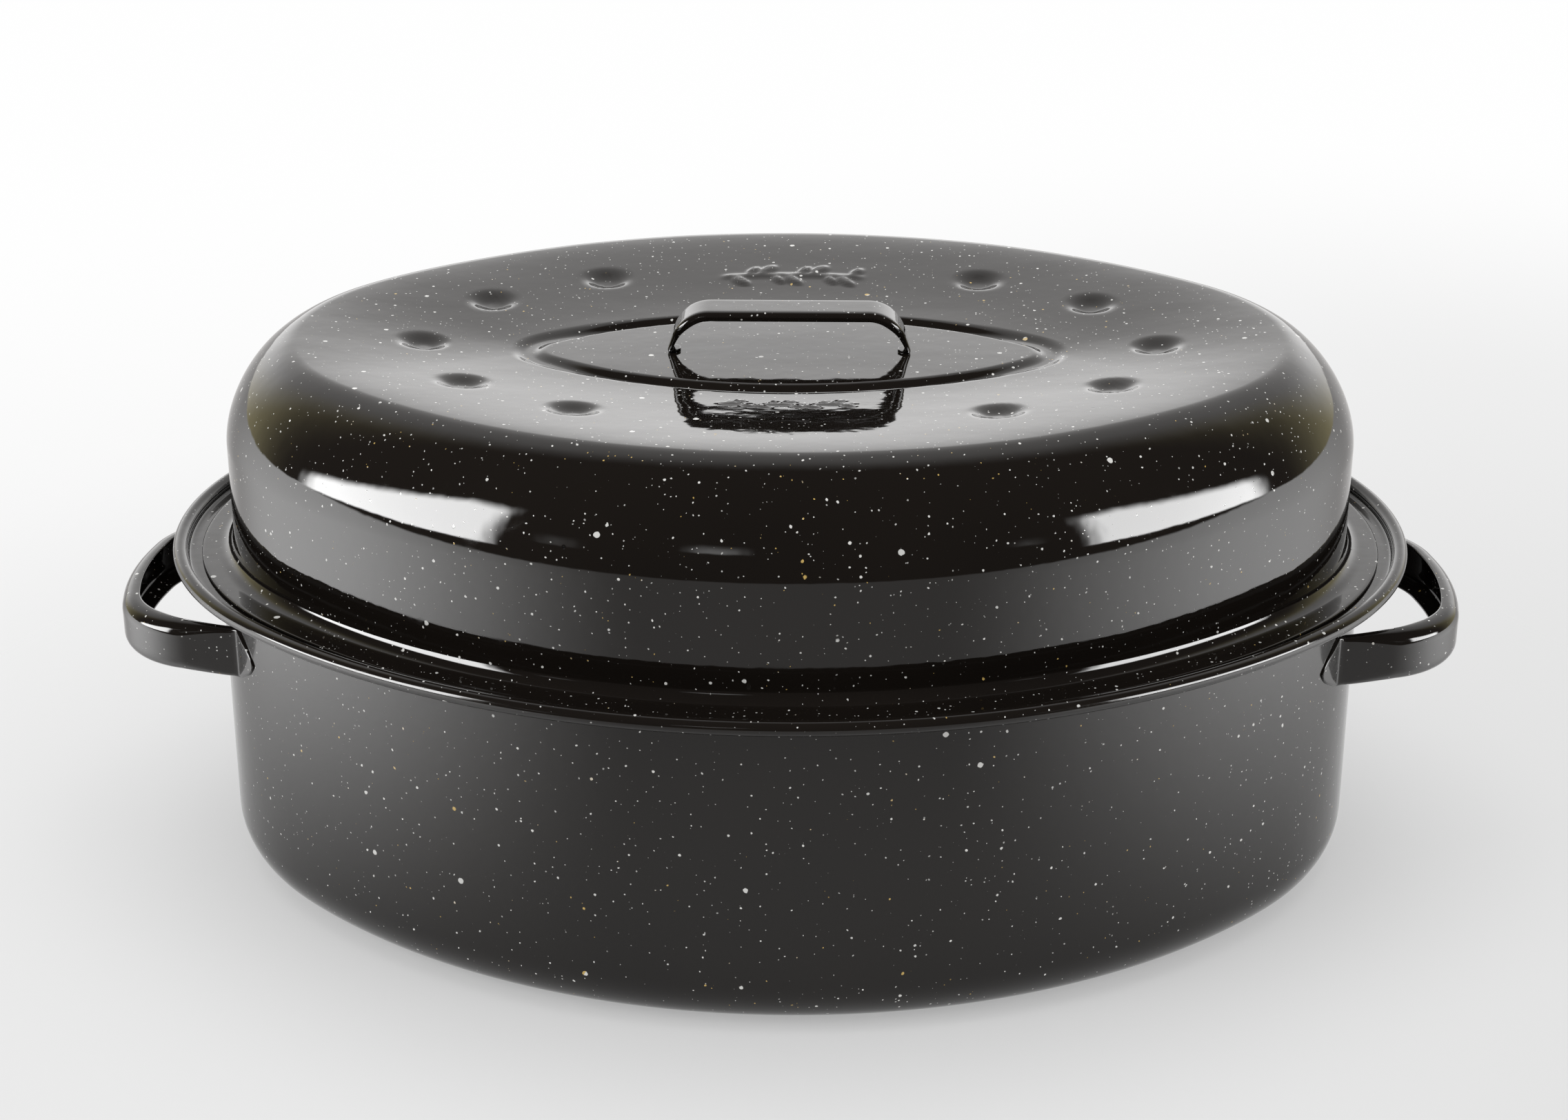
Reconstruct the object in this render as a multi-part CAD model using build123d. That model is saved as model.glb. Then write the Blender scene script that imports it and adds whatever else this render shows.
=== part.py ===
from build123d import *
import math
import os

# Covered oval enamelware roaster with a lift-out wire rack.
# Millimetres. Origin at the middle of the base, +X along the length, +Z up.
# Every oval of the pan and the lid is the same four-arc family: two end arcs of radius r about
# (+-end_centre, 0) and two side arcs of radius r + side_extra about (0, -+side_centre).

# Oval family
end_centre = 85.0
side_centre = 83.0
side_extra = math.hypot(end_centre, side_centre)
end_half_angle = math.degrees(math.atan2(side_centre, end_centre))

# Pan, in end radii and heights
sheet = 0.9
pan_wall_r = 109.6
pan_corner_r = 20.0
pan_height = 117.0
ledge_z = 112.3
bead_r = 2.5
rim_r = 125.0
ledge_corner_r = 3.0

# Lid
lid_gap = 0.3
brim_r = 115.5
lid_wall_r = 104.5
brim_fillet = 5.0
lid_wall_top_z = 151.5
crest_inset = 24.0
crest_z = 184.6
shoulder_power = 1.55
shoulder_root = 1.75
shoulder_steps = 8
shoulder_crowding = 2.2
dish_inset = 96.5
dish_steps = 6
slope_step = 0.05
panel_z = 177.8
groove_depth = 2.4
groove_centre_r = 2.6
groove_half_width = 4.0
groove_tip_r = 5.0
dimple_r = 8.0
dimple_depth = 2.2
dimple_places = [(66.5, 69.0), (104.5, 43.0), (123.0, 0.0)]

# Lid handle
lid_handle_half_length = 41.0
lid_handle_height = 15.6
lid_handle_half_width = 8.0
lid_handle_corner_r = 14.0
lid_handle_flange = 3.5
lid_handle_foot_half_width = 4.0
lid_handle_tab = 5.0

# Side handles
grip_x = 231.6
grip_corner_x = 223.5
grip_corner_y = 45.6
grip_root_x = 172.0
grip_root_y = 54.5
grip_corner_fillet = 33.0
grip_bow_fillet = 110.0
band_bottom_z = 79.5
band_height = 18.0
band_depth = 6.5
band_edge_r = 3.8
weld_tab_length = 15.0
weld_tab_start_angle = 27.5

# Rack
rack_wire_r = 2.0
rack_rim_end_r = 90.0
rack_rim_z = 16.0
cross_wire_r = 1.8
cross_wire_pitch = 23.0
cross_wires_each_side = 6
rail_y = 62.0
rail_half_length = 140.0
foot_x = 95.0
foot_half_length = 9.0
foot_slope = 4.0
foot_bend_r = 3.5
floor_gap = 0.2
pivot_x = 126.0
rack_handle_half_width = 38.0
rack_handle_length = 72.0
rack_handle_corner_r = 14.0
eye_clearance = 0.06
eye_wall = 2.0
eye_width = 5.0


def oval_sweep(section):
    """Carry a cross-section, a function of a radius shift, round the whole oval."""
    end_face = section(0.0)
    side_face = section(side_extra)
    side_span = 180 - 2 * end_half_angle
    end_wedge = revolve(end_face, Axis.Z, 2 * end_half_angle).rotate(Axis.Z, -end_half_angle)
    side_wedge = revolve(side_face, Axis.Z, side_span).rotate(Axis.Z, end_half_angle)
    end_wedge = end_wedge.moved(Location((end_centre, 0, 0)))
    side_wedge = side_wedge.moved(Location((0, -side_centre, 0)))
    half = end_wedge + side_wedge
    return half + half.rotate(Axis.Z, 180)


def oval_face(end_radius, z=0.0):
    """A flat oval of the family at height z."""
    side_radius = end_radius + side_extra
    cos_a = math.cos(math.radians(end_half_angle))
    sin_a = math.sin(math.radians(end_half_angle))
    right = (end_centre + end_radius * cos_a, end_radius * sin_a)
    end_tip = (end_centre + end_radius, 0)
    side_tip = (0, side_radius - side_centre)
    corners = [right, (-right[0], right[1]), (-right[0], -right[1]), (right[0], -right[1])]
    arcs = [
        ThreePointArc(corners[3], end_tip, corners[0]),
        ThreePointArc(corners[0], side_tip, corners[1]),
        ThreePointArc(corners[1], (-end_tip[0], 0), corners[2]),
        ThreePointArc(corners[2], (0, -side_tip[1]), corners[3]),
    ]
    return Plane.XY.offset(z) * make_face(Wire(arcs))


def oval_plate(end_radius, low, high):
    """A solid oval plate between two heights."""
    return extrude(oval_face(end_radius, low), high - low, dir=(0, 0, 1))


def pan_section(shift):
    """The pan's pressed sheet from the base's corner out to the rolled bead."""
    corner = (pan_wall_r - pan_corner_r + shift, pan_corner_r)
    outer = pan_corner_r
    inner = pan_corner_r - sheet
    wall = pan_wall_r + shift
    ledge_in = ledge_corner_r
    under = ledge_z - sheet
    bend = 1 / math.sqrt(2)
    bead_centre = (rim_r - bead_r + shift, pan_height - bead_r)
    lines = [
        ThreePointArc(
            (corner[0], 0),
            (corner[0] + outer * bend, corner[1] - outer * bend),
            (wall, corner[1]),
        ),
        Line((wall, corner[1]), (wall, under)),
        Line((wall, under), (bead_centre[0], under)),
        Line((bead_centre[0], under), (bead_centre[0], ledge_z)),
        Line((bead_centre[0], ledge_z), (wall - sheet + ledge_in, ledge_z)),
        ThreePointArc(
            (wall - sheet + ledge_in, ledge_z),
            (wall - sheet + ledge_in * (1 - bend), ledge_z - ledge_in * (1 - bend)),
            (wall - sheet, ledge_z - ledge_in),
        ),
        Line((wall - sheet, ledge_z - ledge_in), (wall - sheet, corner[1])),
        ThreePointArc(
            (wall - sheet, corner[1]),
            (corner[0] + inner * bend, corner[1] - inner * bend),
            (corner[0], sheet),
        ),
        Line((corner[0], sheet), (corner[0], 0)),
    ]
    face = Plane.XZ * make_face(Wire(lines))
    bead = Plane.XZ * Pos(bead_centre[0], bead_centre[1]) * Circle(bead_r)
    return face + bead


def make_pan():
    base = oval_plate(pan_wall_r - pan_corner_r, 0, sheet)
    return oval_sweep(pan_section) + base


def lid_surface_z(inset):
    """Height of the lid's outer face at an inset from its wall."""
    if inset <= crest_inset:
        share = 1 - inset / crest_inset
        rise = (1 - share**shoulder_power) ** (1 / shoulder_root)
        return lid_wall_top_z + (crest_z - lid_wall_top_z) * rise
    share = min(1.0, (inset - crest_inset) / (dish_inset - crest_inset))
    fall = share**1.5 * (1.9 - 0.9 * share)
    return crest_z - (crest_z - panel_z) * fall


def lid_insets():
    """Insets of the points that the shoulder and the dish are drawn through, crowded at the wall."""
    insets = []
    for step in range(shoulder_steps + 1):
        insets.append(crest_inset * (step / shoulder_steps) ** shoulder_crowding)
    for step in range(1, dish_steps + 1):
        insets.append(crest_inset + (dish_inset - crest_inset) * step / dish_steps)
    return insets


def lid_section(shift):
    """The lid's pressed sheet from its brim over the shoulder to the centre panel."""
    low = ledge_z + lid_gap
    wall = lid_wall_r + shift
    bend = 1 - 1 / math.sqrt(2)
    fillet_top = low + sheet + brim_fillet
    outer = [(wall - inset, lid_surface_z(inset)) for inset in lid_insets()]
    inner = []
    for inset in lid_insets():
        before = max(0.0, inset - slope_step)
        run = inset + slope_step - before
        rise = lid_surface_z(inset + slope_step) - lid_surface_z(before)
        length = math.hypot(rise, run)
        inner.append((wall - inset - sheet * rise / length, lid_surface_z(inset) - sheet * run / length))
    inner[0] = (wall - sheet, lid_wall_top_z)
    inner[-1] = (outer[-1][0], outer[-1][1] - sheet)
    level = (-1, 0)
    lines = [
        Line((brim_r + shift, low), (brim_r + shift, low + sheet)),
        Line((brim_r + shift, low + sheet), (wall + brim_fillet, low + sheet)),
        ThreePointArc(
            (wall + brim_fillet, low + sheet),
            (wall + brim_fillet * bend, low + sheet + brim_fillet * bend),
            (wall, fillet_top),
        ),
        Line((wall, fillet_top), (wall, lid_wall_top_z)),
        Spline(*outer, tangents=[(0, 1), level]),
        Line(outer[-1], inner[-1]),
        Spline(*inner[::-1], tangents=[(1, 0), (0, -1)]),
        Line((wall - sheet, lid_wall_top_z), (wall - sheet, fillet_top)),
        ThreePointArc(
            (wall - sheet, fillet_top),
            (wall - sheet + (brim_fillet + sheet) * bend, low + (brim_fillet + sheet) * bend),
            (wall + brim_fillet, low),
        ),
        Line((wall + brim_fillet, low), (brim_r + shift, low)),
    ]
    return Plane.XZ * make_face(Wire(lines))


def eye_face(end_radius, tip_radius):
    """The eye shape where the family's side arcs meet, with its two tips rounded."""
    side_radius = end_radius + side_extra
    tip_x = math.sqrt(side_radius**2 - side_centre**2)
    top = ThreePointArc((-tip_x, 0), (0, side_radius - side_centre), (tip_x, 0))
    bottom = ThreePointArc((tip_x, 0), (0, side_centre - side_radius), (-tip_x, 0))
    eye = make_face(Wire([top, bottom]))
    return fillet(eye.vertices(), tip_radius)


def inset_at(x, y):
    """Inset from the lid's wall of a point on the top."""
    x = abs(x)
    y = abs(y)
    if math.degrees(math.atan2(y, x - end_centre)) < end_half_angle and x > end_centre:
        return lid_wall_r - math.hypot(x - end_centre, y)
    return lid_wall_r + side_extra - math.hypot(x, y + side_centre)


def dimple_points():
    """The dimples' places, mirrored to both sides and both ends."""
    points = set()
    for x, y in dimple_places:
        for sx in (-1, 1):
            for sy in (-1, 1):
                points.add((sx * x, sy * y if y else 0.0))
    return sorted(points)


def make_lid():
    shell = oval_sweep(lid_section)
    panel_r = lid_wall_r - dish_inset
    shell += oval_plate(panel_r, panel_z - sheet, panel_z)
    groove_low = panel_z - groove_depth
    wide = eye_face(groove_centre_r + groove_half_width, groove_tip_r)
    narrow = eye_face(groove_centre_r - groove_half_width, groove_tip_r)
    wide_under = eye_face(groove_centre_r + groove_half_width + sheet, groove_tip_r)
    narrow_under = eye_face(groove_centre_r - groove_half_width - sheet, groove_tip_r)
    under = Pos(0, 0, groove_low - sheet) * extrude(wide_under - narrow_under, groove_depth)
    trough = Pos(0, 0, groove_low) * extrude(wide - narrow, groove_depth + sheet)
    shell = shell + under - trough
    for x, y in dimple_points():
        floor_z = lid_surface_z(inset_at(x, y)) - dimple_depth
        reach = dimple_depth + 2 * sheet
        bottom = Align.CENTER, Align.CENTER, Align.MIN
        cup = Pos(x, y, floor_z - sheet) * Cylinder(dimple_r + sheet, dimple_depth, align=bottom)
        hollow = Pos(x, y, floor_z) * Cylinder(dimple_r, reach, align=bottom)
        shell = shell + cup - hollow
    return shell


def make_lid_handle():
    """A channel strap bridging the centre panel, open side down, with turned-in weld tabs."""
    top = panel_z + lid_handle_height
    half = lid_handle_half_length

    def arch(inset):
        corner = max(lid_handle_corner_r - inset, 1.0)
        points = [(-half + inset, panel_z), (-half + inset, top - inset)]
        points += [(half - inset, top - inset), (half - inset, panel_z)]
        outline = Polyline(*points, close=True)
        face = make_face(outline)
        upper = face.vertices().sort_by(Axis.Y)[-2:]
        return fillet(upper, corner)

    def slab(face, low, high):
        return Plane.XZ.offset(-high) * extrude(face, high - low)

    width = lid_handle_half_width
    web = slab(arch(0) - arch(sheet), -width, width)
    cheek = arch(0) - arch(lid_handle_flange)
    flanges = slab(cheek, -width, sheet - width) + slab(cheek, width - sheet, width)
    strap = web + flanges
    foot = lid_handle_foot_half_width
    waist = half - lid_handle_corner_r
    plan = make_face(
        Polyline(
            (-half, -foot),
            (-waist, -width),
            (waist, -width),
            (half, -foot),
            (half, foot),
            (waist, width),
            (-waist, width),
            (-half, foot),
            close=True,
        )
    )
    strap = strap & (Pos(0, 0, panel_z) * extrude(plan, lid_handle_height))
    for side in (-1, 1):
        middle = side * (half - lid_handle_tab / 2)
        strap += Pos(middle, 0, panel_z + sheet / 2) * Box(lid_handle_tab, 2 * foot, sheet)
    return strap


def grip_path(inset):
    """The side handle's plan line, drawn inset from its outer face, on the +X end."""
    points = [
        (grip_root_x, -grip_root_y + inset),
        (grip_corner_x - inset, -grip_corner_y + inset),
        (grip_x - inset, 0),
        (grip_corner_x - inset, grip_corner_y - inset),
        (grip_root_x, grip_root_y - inset),
    ]
    corner = grip_corner_fillet - inset
    return points, [corner, grip_bow_fillet - inset, corner]


def grip_loop(inset, low, high):
    """The filled plan of the loop, inset from its outer face, between two heights."""
    points, radii = grip_path(inset)
    line = FilletPolyline(*points, radius=radii)
    closing = Line(points[-1], points[0])
    face = make_face(Wire([*line.edges(), closing]))
    return Pos(0, 0, low) * extrude(face, high - low)


def make_side_handle():
    """The +X handle: a channel loop open towards the pan, and its two weld tabs."""
    low = band_bottom_z
    high = band_bottom_z + band_height
    outer = grip_loop(0, low, high)
    middle_z = (low + high) / 2

    def on_outer_rim(edge):
        place = edge.center()
        return place.X > grip_root_x + 1 and abs(place.Z - middle_z) > band_height / 4

    rim_edges = outer.edges().filter_by(on_outer_rim)
    outer = fillet(rim_edges, band_edge_r)
    groove = grip_loop(sheet, low + sheet, high - sheet)
    opening = grip_loop(band_depth, low - sheet, high + sheet)
    loop = outer - groove - opening
    loop -= oval_plate(pan_wall_r, low - sheet, high + sheet)
    ring = oval_plate(pan_wall_r + sheet, low, high) - oval_plate(pan_wall_r, low, high)
    span = math.degrees(weld_tab_length / pan_wall_r)
    end_axis = Vector(end_centre, 0, middle_z)
    for side in (-1, 1):
        angle = math.radians(side * (weld_tab_start_angle + span / 2))
        outward = Vector(math.cos(angle), math.sin(angle), 0)
        middle = end_axis + outward * pan_wall_r
        along = Vector(-side * math.sin(angle), side * math.cos(angle), 0)
        plane = Plane(origin=middle, x_dir=along, z_dir=outward)
        outline = fillet(
            Rectangle(weld_tab_length, band_height).vertices().sort_by(Axis.X)[-2:],
            band_height / 2 - sheet,
        )
        cutter = plane * extrude(outline, 2 * sheet, both=True)
        loop += ring & cutter
    return loop


def wire_along(points, bend, radius):
    """A round wire along straight runs joined by bends."""
    path = FilletPolyline(*points, radius=bend)
    start = Plane(origin=path @ 0, z_dir=path % 0)
    return sweep(start * Circle(radius), path=path)


def make_rack_rim():
    def section(shift):
        return Plane.XZ * Pos(rack_rim_end_r + shift, rack_rim_z) * Circle(rack_wire_r)

    return oval_sweep(section)


def rack_half_width(x):
    """Half the rack's width inside its rim wire, at a distance x from the middle."""
    inner = rack_rim_end_r - rack_wire_r
    x = abs(x)
    reach = end_centre + inner * math.cos(math.radians(end_half_angle))
    if x > reach:
        return math.sqrt(inner**2 - (x - end_centre) ** 2)
    return math.sqrt((inner + side_extra) ** 2 - x**2) - side_centre


def cross_wire_z():
    return rack_rim_z - rack_wire_r + cross_wire_r


def make_cross_wires():
    wires = []
    for step in range(-cross_wires_each_side, cross_wires_each_side + 1):
        x = step * cross_wire_pitch
        length = 2 * (rack_half_width(x) + rack_wire_r / 2)
        wires.append(Pos(x, 0, cross_wire_z()) * Rot(90, 0, 0) * Cylinder(cross_wire_r, length))
    rim = make_rack_rim()
    return Compound([wire - rim for wire in wires])


def make_foot_rails():
    top = cross_wire_z() - 2 * cross_wire_r
    bottom = sheet + floor_gap + cross_wire_r
    half = foot_half_length
    rails = []
    for y in (-rail_y, rail_y):
        points = [(-rail_half_length, y, top)]
        for middle in (-foot_x, foot_x):
            points += [
                (middle - half - foot_slope, y, top),
                (middle - half, y, bottom),
                (middle + half, y, bottom),
                (middle + half + foot_slope, y, top),
            ]
        points.append((rail_half_length, y, top))
        rails.append(wire_along(points, foot_bend_r, cross_wire_r))
    return Compound(rails)


def pivot_z():
    return rack_rim_z + 2 * rack_wire_r


def make_pivot_wires():
    length = 2 * (rack_half_width(pivot_x) + 2 * rack_wire_r)
    wires = []
    for x in (-pivot_x, pivot_x):
        wires.append(Pos(x, 0, pivot_z()) * Rot(90, 0, 0) * Cylinder(rack_wire_r, length))
    return Compound(wires)


def make_rack_handle(side):
    """A bail lying flat towards the middle, with an eye round the pivot wire at each leg."""
    root_x = side * pivot_x
    eye_outer = rack_wire_r + eye_clearance + eye_wall
    start_x = root_x - side * (rack_wire_r + eye_clearance + eye_wall / 2)
    far_x = root_x - side * rack_handle_length
    y = rack_handle_half_width
    z = pivot_z()
    points = [(start_x, -y, z), (far_x, -y, z), (far_x, y, z), (start_x, y, z)]
    bail = wire_along(points, rack_handle_corner_r, rack_wire_r)
    for end in (-y, y):
        place = Pos(root_x, end, z) * Rot(90, 0, 0)
        bail += place * Cylinder(eye_outer, eye_width)
        bail -= place * Cylinder(rack_wire_r + eye_clearance, 2 * eye_width)
    return bail


def write_parts():
    os.makedirs("parts", exist_ok=True)
    right_handle = make_side_handle()
    nodes = {
        "pan_body": make_pan(),
        "lid_shell": make_lid(),
        "lid_handle": make_lid_handle(),
        "side_handle_left": right_handle.rotate(Axis.Z, 180),
        "side_handle_right": right_handle,
        "rack_rim": make_rack_rim(),
        "rack_cross_wires": make_cross_wires(),
        "rack_foot_rails": make_foot_rails(),
        "rack_pivot_wires": make_pivot_wires(),
        "rack_handle_left": make_rack_handle(-1),
        "rack_handle_right": make_rack_handle(1),
    }
    for name, shape in nodes.items():
        export_step(shape, f"parts/{name}.step")


write_parts()
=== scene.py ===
import math

import bpy
import numpy as np
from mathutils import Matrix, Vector, noise


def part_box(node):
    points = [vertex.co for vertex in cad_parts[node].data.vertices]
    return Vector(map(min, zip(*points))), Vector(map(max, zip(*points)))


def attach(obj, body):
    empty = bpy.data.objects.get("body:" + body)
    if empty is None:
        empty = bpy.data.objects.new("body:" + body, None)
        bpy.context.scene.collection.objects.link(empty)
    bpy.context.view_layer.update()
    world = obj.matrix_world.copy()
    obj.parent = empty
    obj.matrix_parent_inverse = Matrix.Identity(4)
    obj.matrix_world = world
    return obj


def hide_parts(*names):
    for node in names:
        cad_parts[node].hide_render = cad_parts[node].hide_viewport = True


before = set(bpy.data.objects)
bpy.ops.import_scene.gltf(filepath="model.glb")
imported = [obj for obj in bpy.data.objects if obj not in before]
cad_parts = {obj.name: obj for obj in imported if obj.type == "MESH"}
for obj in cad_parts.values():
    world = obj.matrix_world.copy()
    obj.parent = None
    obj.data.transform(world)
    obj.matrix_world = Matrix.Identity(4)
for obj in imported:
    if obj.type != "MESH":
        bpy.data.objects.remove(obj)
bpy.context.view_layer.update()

MM = 0.001

# Every oval of the pan and the lid: end arcs of radius r about (+-END_X, 0), side arcs of radius
# r + SIDE_EXTRA about (0, -+SIDE_Y). All lengths in millimetres until a mesh is made.
END_X = 85.0
SIDE_Y = 83.0
SIDE_EXTRA = math.hypot(END_X, SIDE_Y)
END_HALF = math.atan2(SIDE_Y, END_X)

pan_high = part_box("pan_body")[1]
lid_low, lid_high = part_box("lid_shell")
grip_low, grip_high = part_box("side_handle_right")
bridge_low, bridge_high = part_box("lid_handle")

SHEET = 0.9
RIM_R = pan_high[0] / MM - END_X
PAN_TOP = pan_high[2] / MM
PAN_WALL_R = RIM_R - 15.4
PAN_CORNER_R = 20.0
BEAD_R = 2.5
LEDGE_Z = lid_low[2] / MM - 0.3
LEDGE_CORNER_R = 3.0

BRIM_R = lid_high[0] / MM - END_X
BRIM_Z = lid_low[2] / MM
LID_WALL_R = BRIM_R - 11.0
BRIM_FILLET = 5.0
PANEL_Z = bridge_low[2] / MM
CREST_Z = PANEL_Z + 6.8
WALL_TOP_Z = CREST_Z - 33.1
CREST_INSET = 24.0
SHOULDER_POWER = 1.55
SHOULDER_ROOT = 1.75
DISH_INSET = 96.5
GROOVE_END_X = 73.0
GROOVE_SIDE_Y = 100.0
GROOVE_R = 14.6
GROOVE_HALF = 4.4
GROOVE_DEPTH = 2.4
DIMPLES = [(66.5, 69.0), (104.5, 43.0), (123.0, 0.0)]
DIMPLE_R = 9.6
DIMPLE_DEPTH = 2.3
# Pressed sprigs: side of the lid (-1 front, 1 back), distance from the middle, scale along,
# scale across, and height.
SPRIGS = [(-1, 57.0, 0.72, 0.9, 0.7), (1, 76.0, 0.85, 1.7, 1.2)]
SPRIG_HALF = 30.0
STEM_BOW = 0.0016
LEAF_PITCH = 11.0
EYE_R = 8.0
EYE_FINE_SHARE = 0.74
POLE_SHARE = 0.03
SHEET_WAVE = 0.16
BRIM_RIPPLE = 0.22
WALL_WAVE = 0.10
BASE_SHARES = (0.15, 0.4, 0.65, 0.85)

CREASE_Y = 52.8
TAB_LENGTH = 12.5
BAND_Z = (grip_low[2] + grip_high[2]) / 2 / MM
BAND_HEIGHT = (grip_high[2] - grip_low[2]) / MM
BAND_EDGE_R = 4.8
ELBOW_Y = 45.6
ELBOW_BACK = 8.1
ELBOW_R = 33.0
BOW_R = 110.0
BOW_SAG = 1.25
CREASE_R = 1.2
TAB_TAPER = 0.3
TAB_CORNER = 4.0

BRIDGE_WIDTH = 16.0
BRIDGE_FOOT_WIDTH = 7.0
BRIDGE_EDGE_R = 1.8
BRIDGE_LEAN = 5.0
BRIDGE_BEND_R = 13.0
BRIDGE_FOOT_R = 0.9
BRIDGE_FOOT_LENGTH = 4.6
BRIDGE_FOOT_Z = 0.03


def smooth(low, high, value):
    """Smoothstep of a number or array from 0 at low to 1 at high."""
    share = np.clip((value - low) / (high - low), 0.0, 1.0)
    return share * share * (3 - 2 * share)


# ---------------------------------------------------------------- oval family


def arc_angles(start, end, pitch_of, radius):
    """Angles from start up to, not including, end, spaced by a pitch that may change on the way."""
    angles = [start]
    while True:
        step = pitch_of(angles[-1]) / radius
        if angles[-1] + 1.5 * step >= end:
            return angles
        angles.append(angles[-1] + step)


class Stations:
    """Places round the oval. A ring of end radius r has one point at each of them."""

    def __init__(self, pitch, fine_pitch=None, fine_half=0.0, measured_at=50.0):
        side_radius = measured_at + SIDE_EXTRA

        def side_pitch(angle):
            near = abs(side_radius * math.cos(angle)) < fine_half
            return fine_pitch if near else pitch

        end = arc_angles(-END_HALF, END_HALF, lambda angle: pitch * 0.8, measured_at)
        side = arc_angles(END_HALF, math.pi - END_HALF, side_pitch, side_radius)
        rows = []
        for turn in (0.0, math.pi):
            flip = 1 if turn == 0 else -1
            rows += [(flip * END_X, 0.0, 0.0, angle + turn) for angle in end]
            rows += [(0.0, -flip * SIDE_Y, SIDE_EXTRA, angle + turn) for angle in side]
        rows = np.array(rows)
        self.centre = rows[:, :2]
        self.extra = rows[:, 2:3]
        self.normal = np.stack([np.cos(rows[:, 3]), np.sin(rows[:, 3])], axis=1)
        self.count = len(rows)

    def ring(self, radius):
        return self.centre + (radius + self.extra) * self.normal


def oval_radius(x, y, end_x, side_y):
    """End radius of the oval with these arc centres through a point, eased across y = 0."""
    x = np.abs(x)
    y = np.sqrt(y * y + 4.0)
    side = np.hypot(x, y + side_y) - math.hypot(end_x, side_y)
    end = np.hypot(x - end_x, y)
    at_end = (x > end_x) & (np.arctan2(y, x - end_x) < math.atan2(side_y, end_x))
    return np.where(at_end, end, side)


# ---------------------------------------------------------------- mesh helpers


def add_mesh(name, points, faces, material, body, nodes):
    """A mesh object, made from millimetres, that rides on a body and stands for CAD nodes."""
    mesh = bpy.data.meshes.new(name)
    mesh.from_pydata((np.asarray(points) * MM).tolist(), [], faces)
    mesh.validate()
    mesh.update()
    mesh.polygons.foreach_set("use_smooth", [True] * len(mesh.polygons))
    mesh.materials.append(material)
    piece = bpy.data.objects.new(name, mesh)
    bpy.context.scene.collection.objects.link(piece)
    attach(piece, body)
    if nodes:
        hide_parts(*nodes)
    return piece


def skin_rings(rings):
    """Points and faces of closed rings joined in order, capped by a point at each end."""
    count = len(rings[0])
    points = np.concatenate(rings)
    first_pole = rings[0].mean(axis=0)
    last_pole = rings[-1].mean(axis=0)
    points = np.concatenate([points, [first_pole, last_pole]])
    here = np.arange(count)
    ahead = (here + 1) % count
    faces = []
    for level in range(len(rings) - 1):
        low = level * count
        high = low + count
        quads = np.stack([low + here, low + ahead, high + ahead, high + here], axis=1)
        faces += quads.tolist()
    first = len(points) - 2
    last = len(points) - 1
    top = (len(rings) - 1) * count
    faces += np.stack([here * 0 + first, ahead, here], axis=1).tolist()
    faces += np.stack([here * 0 + last, top + here, top + ahead], axis=1).tolist()
    return points, faces


def level_ring(xy, z):
    """One ring of points at a height, or at a height each."""
    return np.column_stack([xy, np.broadcast_to(z, len(xy))])


def quarter(centre_r, centre_z, radius, start, end, steps):
    """Points (r, z) of an arc, angles in degrees, both ends included."""
    angles = np.radians(np.linspace(start, end, steps + 1))
    return [(centre_r + radius * math.cos(a), centre_z + radius * math.sin(a)) for a in angles]


def straight(start, end, steps):
    """Points (r, z) along a line, without its two ends."""
    shares = np.linspace(0, 1, steps + 1)[1:-1]
    return [tuple(np.array(start) * (1 - s) + np.array(end) * s) for s in shares]


# ---------------------------------------------------------------- pan


def pan_outline():
    """The sheet's whole outline: under the base, up the outside, over the bead, down the inside."""
    corner_r = PAN_WALL_R - PAN_CORNER_R
    under = LEDGE_Z - SHEET
    bead_r = RIM_R - BEAD_R
    bead_z = PAN_TOP - BEAD_R
    tuck = 1.2
    outline = quarter(corner_r, PAN_CORNER_R, PAN_CORNER_R, -90, 0, 14)
    outline += straight((PAN_WALL_R, PAN_CORNER_R), (PAN_WALL_R, under - tuck), 14)
    outline += quarter(PAN_WALL_R + tuck, under - tuck, tuck, 180, 90, 4)
    outline += straight((PAN_WALL_R + tuck, under), (bead_r - 1.2, under), 4)
    outline += quarter(bead_r, bead_z, BEAD_R, -118, 205, 26)
    outline += [(bead_r - BEAD_R - 0.5, LEDGE_Z + 0.25), (bead_r - BEAD_R - 1.2, LEDGE_Z)]
    inner_r = PAN_WALL_R - SHEET
    ledge_in = inner_r + LEDGE_CORNER_R
    outline += straight((bead_r - BEAD_R - 1.2, LEDGE_Z), (ledge_in, LEDGE_Z), 5)
    outline += quarter(ledge_in, LEDGE_Z - LEDGE_CORNER_R, LEDGE_CORNER_R, 90, 180, 6)
    outline += straight((inner_r, LEDGE_Z - LEDGE_CORNER_R), (inner_r, PAN_CORNER_R), 14)
    outline += quarter(corner_r, PAN_CORNER_R, PAN_CORNER_R - SHEET, 0, -90, 12)
    return outline


def pan_wave(xy, z):
    """Slight unevenness of the deep-drawn wall, in mm, outward."""
    wave = [noise.noise(Vector((x / 60, y / 60, z / 90))) for x, y in xy]
    return WALL_WAVE * np.array(wave)


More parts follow.
